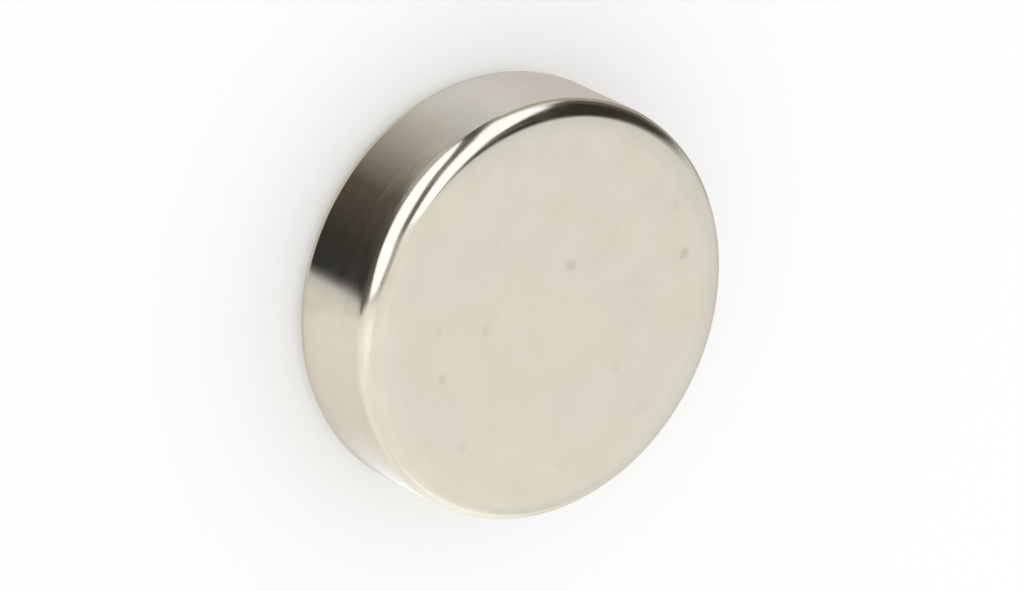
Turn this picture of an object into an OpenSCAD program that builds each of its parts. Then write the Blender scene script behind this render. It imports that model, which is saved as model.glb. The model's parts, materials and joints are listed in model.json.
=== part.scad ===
// Disc magnet: a sintered neodymium disc with a nickel plated skin.
// It lies flat on one end face. The origin is the centre of that face, and +Z is the disc's axis.
// The other end face looks up. The two ends are alike.

/* [Disc] */
// Diameter of the disc across its rim
disc_d = 10; // [4:0.5:40]
// Thickness of the disc, from one end face to the other
disc_t = 3; // [1.5:0.25:15]

/* [Edges] */
// Radius of the tumbled round where the rim meets each end face
edge_r = 0.45; // [0.1:0.05:0.6]

/* [Hidden] */

// Colour of the nickel, as it shows under a white light
nickel = [0.855, 0.831, 0.769];
// Steps around the rim and around each rounded edge
rim_steps = 180;
edge_steps = 48;

rim_r = disc_d / 2;
// Radius of the flat part of each end face, which is also where the edge rounds are centred
flat_r = rim_r - edge_r;

// A full circle centred on one edge round, at the given height
module edge_circle(height) {
    translate([flat_r, height]) circle(r = edge_r, $fn = edge_steps);
}

// Half of the disc's section: the axis is on the left and the rim on the right
module half_section() {
    // End face to end face, as far out as the faces are flat
    square([flat_r, disc_t]);
    // Out to the rim, between the two edge rounds
    translate([0, edge_r]) square([rim_r, disc_t - 2 * edge_r]);
    edge_circle(edge_r);
    edge_circle(disc_t - edge_r);
}

module magnet_disc() {
    color(nickel) rotate_extrude($fn = rim_steps) half_section();
}

magnet_disc();
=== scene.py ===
import json
import math

import bpy
from mathutils import Matrix, Vector

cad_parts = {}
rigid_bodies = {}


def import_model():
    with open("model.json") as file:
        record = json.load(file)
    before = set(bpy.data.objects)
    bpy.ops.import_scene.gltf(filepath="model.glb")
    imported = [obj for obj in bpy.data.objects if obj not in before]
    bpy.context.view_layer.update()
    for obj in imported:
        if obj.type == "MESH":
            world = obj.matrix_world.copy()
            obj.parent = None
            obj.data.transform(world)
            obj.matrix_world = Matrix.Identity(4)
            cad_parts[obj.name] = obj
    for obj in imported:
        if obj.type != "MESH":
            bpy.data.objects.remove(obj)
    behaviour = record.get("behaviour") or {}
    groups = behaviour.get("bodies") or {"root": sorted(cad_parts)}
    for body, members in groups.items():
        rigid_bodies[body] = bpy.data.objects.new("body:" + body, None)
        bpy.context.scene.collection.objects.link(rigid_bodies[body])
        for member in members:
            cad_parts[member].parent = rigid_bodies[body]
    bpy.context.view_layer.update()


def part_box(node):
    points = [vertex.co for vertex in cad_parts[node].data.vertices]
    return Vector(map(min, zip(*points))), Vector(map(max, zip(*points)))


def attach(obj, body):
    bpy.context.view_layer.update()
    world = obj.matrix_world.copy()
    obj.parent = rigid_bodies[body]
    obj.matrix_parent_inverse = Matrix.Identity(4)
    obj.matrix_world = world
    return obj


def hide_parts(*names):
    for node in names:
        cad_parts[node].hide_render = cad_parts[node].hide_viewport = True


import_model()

MM = 0.001


# The disc is pressed from neodymium powder, sintered and ground to size, and then tumbled, which rounds
# both of its edges. It is one piece, so it is made here as one closed shell, in the CAD solid's place.
def clear_selection():
    """Leaves nothing selected, because the loaded solids start out selected."""
    for thing in bpy.context.view_layer.objects:
        thing.select_set(False)


def select_edges(piece, wanted):
    """In edit mode, selects the edges for which wanted(edge ends) is true, and nothing else."""
    bpy.ops.mesh.select_all(action="DESELECT")
    bpy.ops.object.mode_set(mode="OBJECT")
    points = piece.data.vertices
    for edge in piece.data.edges:
        edge.select = wanted([points[i].co for i in edge.vertices])
    bpy.ops.object.mode_set(mode="EDIT")


def select_faces(piece, wanted):
    """In edit mode, selects the faces for which wanted(centre, normal) is true, and nothing else."""
    bpy.ops.mesh.select_all(action="DESELECT")
    bpy.ops.object.mode_set(mode="OBJECT")
    for face in piece.data.polygons:
        face.select = wanted(face.center, face.normal)
    bpy.ops.object.mode_set(mode="EDIT")


low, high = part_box("magnet_disc")
rim_r = (high.x - low.x + high.y - low.y) / 4
disc_t = high.z - low.z
edge_r = 0.45 * MM
around = 384
edge_steps = 24
hair = 0.01 * MM

clear_selection()
bpy.ops.mesh.primitive_cylinder_add(
    vertices=around, radius=rim_r, depth=disc_t, end_fill_type="NGON", location=(0, 0, disc_t / 2)
)
disc = bpy.context.object
disc.name = "disc"
disc.data.transform(Matrix.Translation(disc.location))
disc.location = (0, 0, 0)

bpy.ops.object.mode_set(mode="EDIT")
bpy.ops.mesh.select_mode(type="EDGE")
select_edges(disc, lambda ends: abs(ends[0].z - ends[1].z) < hair)
bpy.ops.mesh.bevel(offset=edge_r, segments=edge_steps, profile=0.5, affect="EDGES")

# Each flat end gets narrow rings beside its round and wide ones towards a small centre.
bpy.ops.mesh.select_mode(type="FACE")
ring_steps = [0.05 * MM] * 8 + [0.1 * MM] * 2 + [0.35 * MM] * 10
for facing in (-1, 1):
    select_faces(disc, lambda centre, normal: normal.z * facing > 0.999 and centre.xy.length < hair)
    for step in ring_steps:
        bpy.ops.mesh.inset(thickness=step)
    bpy.ops.mesh.poke()

# The rim is cut into short bands.
bpy.ops.mesh.select_mode(type="EDGE")
select_edges(disc, lambda ends: abs(ends[0].z - ends[1].z) > disc_t / 2)
bpy.ops.mesh.subdivide_edgering(number_cuts=11)
bpy.ops.object.mode_set(mode="OBJECT")


def ease(value, start, stop):
    """Goes from 0 to 1, with soft ends, while the value goes from start to stop."""
    share = min(max((value - start) / (stop - start), 0), 1)
    return share * share * (3 - 2 * share)


# Tumbling takes a little more off both ends close to the rim, so each end rolls over into its round.
roll_from, roll_to, roll_depth = 4.20 * MM, 4.95 * MM, 0.034 * MM
for corner in disc.data.vertices:
    drop = roll_depth * ease(corner.co.xy.length, roll_from, roll_to)
    if corner.co.z > disc_t - edge_r - hair:
        corner.co.z -= drop
    elif corner.co.z < edge_r + hair:
        corner.co.z += drop

# The rim and the rounds are not quite even, which bends what they reflect.
wavy_from, wavy_to, wave_depth = 4.1 * MM, 4.9 * MM, 0.012 * MM
wavy = disc.vertex_groups.new(name="wavy")
for corner in disc.data.vertices:
    wavy.add([corner.index], ease(corner.co.xy.length, wavy_from, wavy_to), "REPLACE")
waves = bpy.data.textures.new("waves", "CLOUDS")
waves.noise_scale = 1.3 * MM
waves.noise_depth = 1
uneven = disc.modifiers.new("uneven", "DISPLACE")
uneven.texture = waves
uneven.texture_coords = "LOCAL"
uneven.vertex_group = "wavy"
uneven.strength = wave_depth
uneven.mid_level = 0.5
bpy.ops.object.modifier_apply(modifier="uneven")
bpy.ops.object.shade_smooth()


def add_node(tree, kind, wired, **settings):
    """Adds a node. An input in wired gets a link if its value is a socket, and a plain value if not."""
    made = tree.nodes.new(kind)
    for name, value in settings.items():
        setattr(made, name, value)
    for place, value in wired.items():
        if isinstance(value, bpy.types.NodeSocket):
            tree.links.new(value, made.inputs[place])
        else:
            made.inputs[place].default_value = value
    return made


def calculate(tree, operation, *values):
    """The outcome of one sum on numbers or sockets."""
    return add_node(tree, "ShaderNodeMath", dict(enumerate(values)), operation=operation).outputs[0]


def calculate_vector(tree, operation, *values):
    """The outcomes of one sum on vectors or sockets: Vector, or Value for a length or a distance."""
    return add_node(tree, "ShaderNodeVectorMath", dict(enumerate(values)), operation=operation).outputs


def spread(tree, value, low_in, high_in, low_out, high_out):
    """Maps a range of values on to another one with soft ends."""
    wired = {0: value, 1: low_in, 2: high_in, 3: low_out, 4: high_out}
    return add_node(tree, "ShaderNodeMapRange", wired, interpolation_type="SMOOTHSTEP").outputs[0]


def noise(tree, vector, scale, detail):
    """Even three-dimensional noise around 0.5."""
    wired = {"Vector": vector, "Scale": scale, "Detail": detail}
    return add_node(tree, "ShaderNodeTexNoise", wired, noise_dimensions="3D").outputs[0]


def hairlines(tree, vector, turn, stretch, scarce):
    """Fine straight scratches: noise drawn out along one direction, of which only the peaks are kept."""
    wired = {"Vector": vector, "Rotation": turn, "Scale": stretch}
    placed = add_node(tree, "ShaderNodeMapping", wired).outputs[0]
    return spread(tree, noise(tree, placed, 1.0, 1.0), scarce, scarce + 0.035, 0.0, 1.0)


# Bright nickel over copper, laid down in a barrel. The ends keep a fine satin from the grinding under it,
# and the upper one has a few small pits. The rim and the rounds are near mirrors, with the specks and
# hairlines that the barrel and the bench leave.
plating = bpy.data.materials.new("nickel_plating")
plating.use_nodes = True
tree = plating.node_tree
shader = tree.nodes["Principled BSDF"]
shader.inputs["Metallic"].default_value = 1
shader.inputs["Specular Tint"].default_value = (0.80, 0.79, 0.77, 1)

where = add_node(tree, "ShaderNodeTexCoord", {}).outputs["Object"]
in_mm = add_node(tree, "ShaderNodeMapping", {"Vector": where, "Scale": (1000, 1000, 1000)}).outputs[0]
flat = calculate_vector(tree, "MULTIPLY", in_mm, (1, 1, 0))["Vector"]
from_axis = calculate_vector(tree, "LENGTH", flat)["Value"]

# How far from the axis, in millimetres, the satin fades out and the tumbled finish comes in
satin_from, satin_to = 4.42, 4.74
rounded_from, rounded_to = 4.62, 4.90
satin = spread(tree, from_axis, satin_from, satin_to, 1.0, 0.0)
rounded = spread(tree, from_axis, rounded_from, rounded_to, 0.0, 1.0)

# Small pits of the upper end: the place and the radius in millimetres, and the depth of tone
pits = [
    (-1.21, -0.13, 0.17, 1.0),
    (-2.63, 2.77, 0.15, 0.9),
    (-3.53, 1.92, 0.14, 0.4),
    (0.99, -1.51, 0.15, 0.6),
    (2.40, -1.99, 0.13, 0.6),
    (1.48, -2.72, 0.13, 0.3),
    (0.43, 2.49, 0.13, 0.3),
    (0.95, 3.74, 0.24, 0.25),
    (3.54, -0.58, 0.17, 0.35),
    (2.96, 2.27, 0.12, 0.35),
]
upper_end = disc_t / MM
wired = {"Vector": in_mm, "Scale": 5.0, "Detail": 4.0}
ragged = add_node(tree, "ShaderNodeTexNoise", wired).outputs["Color"]
ragged = calculate_vector(tree, "SUBTRACT", ragged, (0.5, 0.5, 0.5))["Vector"]
ragged_place = calculate_vector(tree, "MULTIPLY_ADD", ragged, (0.20, 0.20, 0), in_mm)["Vector"]
pitted = 0.0
for x, y, size, tone in pits:
    gap = calculate_vector(tree, "DISTANCE", ragged_place, (x, y, upper_end))["Value"]
    pitted = calculate(tree, "MAXIMUM", pitted, spread(tree, gap, 0.0, size * 1.4, tone, 0.0))

# The grain of the satin, its clouds, the slow drift of the colour, and the haze in bands round the rim
fine_grain = noise(tree, in_mm, 16.0, 2.0)
patches = noise(tree, in_mm, 1.1, 3.0)
drift = noise(tree, in_mm, 0.55, 1.0)
band = add_node(tree, "ShaderNodeMapping", {"Vector": in_mm, "Scale": (0.8, 0.8, 3.5)}).outputs[0]
haze = spread(tree, noise(tree, band, 1.0, 4.0), 0.38, 0.68, 0.0, 1.0)

# Hairlines in three directions on the ends, and in three on the rim and the rounds
face_lines = calculate(
    tree, "MAXIMUM",
    hairlines(tree, in_mm, (0, 0, 0.5), (1.1, 34.0, 1.0), 0.665),
    calculate(tree, "MAXIMUM", hairlines(tree, in_mm, (0, 0, 1.9), (0.9, 38.0, 1.0), 0.675),
              hairlines(tree, in_mm, (0, 0, 2.7), (1.4, 30.0, 1.0), 0.68)),
)
rim_lines = calculate(
    tree, "MAXIMUM",
    hairlines(tree, in_mm, (0, 0, 0), (0.7, 0.7, 42.0), 0.70),
    calculate(tree, "MAXIMUM", hairlines(tree, in_mm, (0.35, 0.2, 0), (1.0, 1.0, 36.0), 0.71),
              hairlines(tree, in_mm, (-0.5, 0.6, 0), (1.2, 1.2, 40.0), 0.72)),
)
lines = calculate(
    tree, "MAXIMUM",
    calculate(tree, "MULTIPLY", face_lines, satin),
    calculate(tree, "MULTIPLY", rim_lines, rounded),
)

# Bright specks of the rim
loose_place = calculate_vector(tree, "MULTIPLY_ADD", ragged, (0.5, 0.5, 0.5), in_mm)["Vector"]
cells = add_node(tree, "ShaderNodeTexVoronoi", {"Vector": loose_place, "Scale": 3.2})
chosen = add_node(tree, "ShaderNodeSeparateColor", {0: cells.outputs["Color"]}).outputs[0]
reach = spread(tree, chosen, 0.60, 1.0, 0.0, 0.11)
specks = calculate(tree, "DIVIDE", cells.outputs["Distance"], calculate(tree, "ADD", reach, 0.0001))
specks = spread(tree, specks, 0.3, 1.0, 1.0, 0.0)
specks = calculate(tree, "MULTIPLY", specks, rounded)

# The colour of the nickel, which drifts a little and is darker in the pits
drift = spread(tree, drift, 0.35, 0.65, 0.0, 1.0)
wired = {0: drift, 6: (0.713, 0.661, 0.540, 1), 7: (0.704, 0.658, 0.548, 1)}
colour = add_node(tree, "ShaderNodeMix", wired, data_type="RGBA").outputs[2]
tone = spread(tree, patches, 0.3, 0.7, 0.972, 1.015)
tone = calculate(tree, "MULTIPLY", tone, spread(tree, fine_grain, 0.3, 0.7, 0.985, 1.012))
tone = calculate(tree, "SUBTRACT", tone, calculate(tree, "MULTIPLY", pitted, 0.18))
colour = add_node(tree, "ShaderNodeVectorMath", {0: colour, "Scale": tone}, operation="SCALE").outputs[0]
tree.links.new(colour, shader.inputs["Base Color"])

# The roughness: smooth on the rim and the rounds, ground on the ends
smooth = calculate(tree, "MULTIPLY_ADD", haze, 0.07, 0.13)
smooth = calculate(tree, "MULTIPLY_ADD", specks, 0.35, smooth)
ground = calculate(tree, "MULTIPLY_ADD", patches, 0.08, 0.20)
rough = add_node(tree, "ShaderNodeMix", {0: satin, 2: smooth, 3: ground}).outputs[0]
rough = calculate(tree, "MULTIPLY_ADD", lines, 0.015, rough)
tree.links.new(rough, shader.inputs["Roughness"])

# The fine relief: grain, hairlines, specks and pits
relief_depth = 0.0025 * MM
grain_share = add_node(tree, "ShaderNodeMix", {0: satin, 2: 0.10, 3: 1.0}).outputs[0]
height = calculate(tree, "MULTIPLY", fine_grain, grain_share)
height = calculate(tree, "MULTIPLY_ADD", lines, -0.17, height)
height = calculate(tree, "MULTIPLY_ADD", specks, 0.4, height)
height = calculate(tree, "MULTIPLY_ADD", pitted, -1.0, height)
relief = add_node(tree, "ShaderNodeBump", {"Strength": 1.0, "Distance": relief_depth, "Height": height})
tree.links.new(relief.outputs[0], shader.inputs["Normal"])

disc.data.materials.clear()
disc.data.materials.append(plating)
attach(disc, "root")
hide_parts("magnet_disc")


# The stage is a wide sheet of matt pale paper, laid flat under a plain pale sky. It catches the disc's
# soft shadow, and a little glow of its own makes it white to the camera and to the plating.
bpy.ops.mesh.primitive_plane_add(size=1.2)
floor = bpy.context.object
floor.name = "floor"
paper = bpy.data.materials.new("floor_paper")
paper.use_nodes = True
tree = paper.node_tree
tree.nodes.clear()
rays = add_node(tree, "ShaderNodeLightPath", {}).outputs
seen = calculate(tree, "MAXIMUM", rays["Is Camera Ray"], rays["Is Glossy Ray"])
seen = calculate(tree, "MAXIMUM", seen, rays["Is Transmission Ray"])
floor_glow = 0.20
lift = calculate(tree, "MULTIPLY", seen, floor_glow)
matt = add_node(tree, "ShaderNodeBsdfDiffuse", {"Color": (0.8, 0.8, 0.8, 1)}).outputs[0]
glow = add_node(tree, "ShaderNodeEmission", {"Color": (1, 1, 1, 1), "Strength": lift}).outputs[0]
both = add_node(tree, "ShaderNodeAddShader", {0: matt, 1: glow}).outputs[0]
add_node(tree, "ShaderNodeOutputMaterial", {"Surface": both})
floor.data.materials.append(paper)

world = bpy.data.worlds.new("studio")
bpy.context.scene.world = world
world.use_nodes = True
sky = world.node_tree.nodes["Background"]
sky.inputs["Color"].default_value = (1, 1, 1, 1)
sky.inputs["Strength"].default_value = 1


def towards(azimuth, elevation):
    """The direction from the disc, in degrees. Azimuth 0 is the camera's side, and 90 is +X."""
    side, up = math.radians(azimuth), math.radians(elevation)
    return Vector((math.sin(side) * math.cos(up), -math.cos(side) * math.cos(up), math.sin(up)))


# Softboxes and cloths hang around the disc and lie beside it, for its plating to reflect. Only the metal
# sees them. Each has a colour and a cover per corner, so that its borders are soft.
card_paint = bpy.data.materials.new("card_paint")
card_paint.use_nodes = True
tree = card_paint.node_tree
tree.nodes.clear()
painted = add_node(
    tree, "ShaderNodeAttribute", {}, attribute_type="GEOMETRY", attribute_name="paint"
).outputs
shine = add_node(tree, "ShaderNodeEmission", {"Color": painted["Color"]}).outputs[0]
clear = add_node(tree, "ShaderNodeBsdfTransparent", {}).outputs[0]
shown = add_node(tree, "ShaderNodeMixShader", {0: painted["Alpha"], 1: clear, 2: shine}).outputs[0]
add_node(tree, "ShaderNodeOutputMaterial", {"Surface": shown})


def finish_card(card, colours):
    """Paints a card with one colour and cover per corner, and keeps it out of the camera's sight."""
    paint = card.data.color_attributes.new("paint", "FLOAT_COLOR", "POINT")
    for dot, colour in zip(paint.data, colours):
        dot.color = colour
    card.data.materials.append(card_paint)
    card.visible_camera = False
    card.visible_diffuse = False
    card.visible_transmission = False
    card.visible_shadow = False


def hang(name, facing, gap, corners, colour, soft):
    """A flat cloth square on to a direction, gap metres away, with soft degrees of fading border."""
    middle = towards(*facing)
    bpy.ops.mesh.primitive_circle_add(vertices=len(corners), radius=gap, fill_type="NGON")
    card = bpy.context.object
    card.name = name
    for corner, aim in zip(card.data.vertices, corners):
        corner.co = towards(*aim) * gap / towards(*aim).dot(middle)
    bpy.ops.object.mode_set(mode="EDIT")
    bpy.ops.mesh.select_mode(type="FACE")
    bpy.ops.mesh.select_all(action="SELECT")
    bpy.ops.mesh.inset(thickness=gap * math.tan(math.radians(soft)))
    bpy.ops.object.mode_set(mode="OBJECT")
    finish_card(card, [(*colour, 1.0 if corner.select else 0.0) for corner in card.data.vertices])


def between(stops, at):
    """The value at one place, on straight lines between the stops, each a place and a value."""
    for (start, low), (end, high) in zip(stops, stops[1:]):
        if at <= end:
            return low + (high - low) * (at - start) / (end - start)
    return stops[-1][1]


def lay(name, height, border, outer, colour, soft, centre=(0, 0)):
    """A cloth laid flat around a centre, from a border of (azimuth, radius) points to the outer radius.

    Heights and radii are in millimetres. It fades over soft[0] degrees at both ends, and over the
    factor soft[1] at both radii.
    """
    start, stop = border[0][0], border[-1][0]
    fade, factor = soft
    fade_parts, parts, steps = 6, 12, 6
    turns = [start + fade * n / fade_parts for n in range(fade_parts)]
    turns += [start + fade + (stop - start - 2 * fade) * n / parts for n in range(parts + 1)]
    turns += [stop - fade * n / fade_parts for n in range(fade_parts - 1, -1, -1)]
    bpy.ops.mesh.primitive_grid_add(x_subdivisions=len(turns) - 1, y_subdivisions=steps + 2, size=1)
    card = bpy.context.object
    card.name = name
    colours = []
    for n, corner in enumerate(card.data.vertices):
        turn, row = turns[n % len(turns)], n // len(turns)
        near = between(border, turn)
        inside, outside = near * factor, outer / factor
        whole = [inside * (outside / inside) ** (step / steps) for step in range(steps + 1)]
        reach = [near, *whole, outer][row]
        corner.co = (Vector((*centre, height)) + towards(turn, 0) * reach) * MM
        cover = min(1, (turn - start) / fade, (stop - turn) / fade)
        colours.append((*colour, 0 if row in (0, steps + 2) else cover))
    finish_card(card, colours)


# The hung cloths and softboxes: their corners are directions, as azimuth and elevation
softbox_white = (1.5, 1.56, 1.74)
hang(
    "dark_cloth_side", (-115, 30), 0.9,
    [(-148, -25), (-150, 30), (-142, 56), (-125, 74), (-85, 84), (-60, 70), (-70, 30), (-78, -25)],
    (0.045, 0.04, 0.035), 14,
)
hang(
    "grey_cloth_side", (-90, 50), 0.7,
    [(-106, 46), (-102, 60), (-84, 66), (-70, 56), (-72, 38), (-92, 38)],
    (0.16, 0.15, 0.14), 7,
)
hang(
    "dark_cloth_front", (-25, 20), 0.9,
    [(-66, -12), (-48, 24), (-26, 47), (-2, 55), (4, 46), (4, -12)],
    (0.18, 0.165, 0.15), 3,
)
hang(
    "grey_cloth_front", (15, 40), 0.9,
    [(-8, 30), (-4, 52), (6, 66), (24, 64), (34, 54), (33.5, 30), (33, -12), (-5, -12)],
    (0.5, 0.49, 0.47), 4,
)
hang(
    "side_softbox", (-55, 30), 0.4,
    [(-95, -12), (-87, 25), (-77, 46), (-74, 63), (-82, 74), (-40, 82), (-12, 70), (-7, 56),
     (-18, 47), (-34, 34), (-49, 16), (-58, -1), (-64, -12)],
    softbox_white, 2.5,
)
hang(
    "front_softbox", (-5, 18), 0.4,
    [(-52, -12), (-43, 0), (-33, 9), (-25, 17), (-15, 26), (0, 33), (9, 44), (19, 43), (28, 33),
     (30, 15), (30, -12)],
    softbox_white, 2.5,
)
hang(
    "right_wall", (95, 25), 0.8,
    [(30, -20), (30, 30), (45, 55), (95, 80), (155, 78), (186, 66), (180, 54), (172, 20), (168, -20)],
    (1.08, 1.08, 1.08), 8,
)
hang(
    "cream_card", (50, 12), 0.6,
    [(36, -1), (37, 44), (50, 44), (61, 34), (65, -1)],
    (1.34, 1.33, 1.30), 6,
)
hang(
    "cool_cloth", (-165, 60), 0.9,
    [(-176, 30), (-177, 56), (-160, 78), (-120, 80), (-135, 50), (-150, 30)],
    (0.86, 0.88, 0.95), 5,
)
hang(
    "low_wall", (140, 0), 0.7,
    [(98, -20), (100, 10), (130, 18), (150, 10), (156, -20)],
    (1.30, 1.35, 1.48), 9,
)
hang(
    "pale_cloth", (150, 40), 0.75,
    [(116, 26), (120, 56), (150, 66), (178, 58), (180, 34), (150, 20)],
    (0.99, 1.02, 1.04), 13,
)
hang(
    "grey_wall", (172, 20), 0.85,
    [(140, 0), (143, 32), (160, 42), (185, 44), (215, 38), (220, 0)],
    (0.90, 0.93, 0.98), 8,
)

# The cloths that lie on the paper, each just above the last one that it overlaps. Most reach far out.
far = 1500
lay("floor_left", 0.02, [(-145, 7.5), (-84, 7.5)], far, (0.14, 0.12, 0.11), (6, 1.6))
lay("floor_back", 0.03, [(-200, 3), (-141, 3)], far, (0.88, 0.84, 0.84), (8, 1.5), (-4.8, 1.3))
lay("floor_gap", 0.03, [(-58, 7.0), (30.8, 7.0)], far, (0.12, 0.11, 0.10), (2, 1.02))
lay("floor_side", 0.04, [(-88, 24), (-54, 9)], far, softbox_white, (4, 1.2))
lay(
    "floor_front", 0.05,
    [(-42, 7.3), (-35, 6.8), (-14, 6.9), (-7, 7.6), (0, 8.7), (7, 10), (14, 13.5), (21, 25), (28, 60)],
    far, softbox_white, (2.5, 1.15),
)
lay("floor_right", 0.02, [(29.3, 5.05), (120, 5.05)], far, (1.0, 0.97, 0.96), (3, 1.1))
lay("floor_pale", 0.03, [(26, 6.8), (100, 6.8)], far, (1.15, 1.12, 1.16), (12, 1.5))
lay(
    "floor_far", 0.04, [(105, 3.7), (135, 5.7), (165, 7.6)],
    far, (1.37, 1.42, 1.51), (26, 1.06), (1, -3.2),
)
lay(
    "grey_ring", 0.06, [(-147, 5.1), (-112, 5.4), (-98, 6.2), (-50, 6.9)],
    13, (0.50, 0.49, 0.48), (5, 1.22),
)

# The graded cloth fans out from the rim, so that each of its tones falls on the rim as a straight band.
# Each stop has its azimuths beside the rim and at its outer border, its colour and its cover.
fan = [
    (-125, -125, (0.60, 0.57, 0.53), 0),
    (-86, -86, (0.67, 0.60, 0.54), 0.9),
    (-74, -74, (0.86, 0.83, 0.84), 1),
    (-48, -48, (0.87, 0.87, 0.99), 1),
    (-36, -36, (0.735, 0.74, 0.785), 1),
    (-26, -26, (0.52, 0.50, 0.50), 1),
    (-9, -9, (0.120, 0.101, 0.086), 1),
    (6, 6, (0.050, 0.045, 0.041), 1),
    (15.6, 17.1, (0.043, 0.044, 0.045), 1),
    (17.2, 18.9, (0.043, 0.044, 0.045), 0.85),
    (19.6, 21.3, (0.06, 0.15, 0.34), 0.22),
    (23, 24.7, (0.05, 0.05, 0.055), 0),
]
# Its rows, in millimetres out from the rim, and the columns that each stop has up to the next one
rows = [0.12, 1.5, 2.16]
parts = 6
graded_height = 0.07 * MM
columns = (len(fan) - 1) * parts + 1
bpy.ops.mesh.primitive_grid_add(x_subdivisions=columns - 1, y_subdivisions=len(rows) - 1, size=1)
graded = bpy.context.object
graded.name = "graded_cloth"
colours = []
for n, corner in enumerate(graded.data.vertices):
    column, row = n % columns, n // columns
    stop = min(column // parts, len(fan) - 2)
    share = column / parts - stop
    left, right = fan[stop], fan[stop + 1]
    side = 1 if row == len(rows) - 1 else 0
    turn = left[side] + (right[side] - left[side]) * share
    corner.co = towards(turn, 0) * rim_r + towards(2 * turn, 0) * rows[row] * MM
    corner.co.z = graded_height
    colour = [a + (b - a) * share for a, b in zip((*left[2], left[3]), (*right[2], right[3]))]
    colours.append(colour)
finish_card(graded, colours)

# The camera stands as in the photo: off the disc's axis by the first angle, and rolled by the second.
view_off_axis = math.radians(40.5)
roll = math.radians(90 + 26.7)
camera_gap = 200 * MM
pixels_per_mm = 44
image_width = 1024
sensor = 36
target = Vector((0, 0, disc_t / 2))
back = Vector((0, -math.sin(view_off_axis), math.cos(view_off_axis)))
camera_data = bpy.data.cameras.new("camera")
camera = bpy.data.objects.new("camera", camera_data)
bpy.context.scene.collection.objects.link(camera)
camera_data.sensor_width = sensor
camera_data.lens = sensor * pixels_per_mm * camera_gap / MM / image_width
camera_data.clip_start = 10 * MM
camera_data.clip_end = 2
turn = (-back).to_track_quat("-Z", "Y").to_matrix() @ Matrix.Rotation(roll, 3, "Z")
camera.matrix_world = Matrix.Translation(target + back * camera_gap) @ turn.to_4x4()
bpy.context.scene.camera = camera
bpy.context.scene.view_settings.view_transform = "Standard"
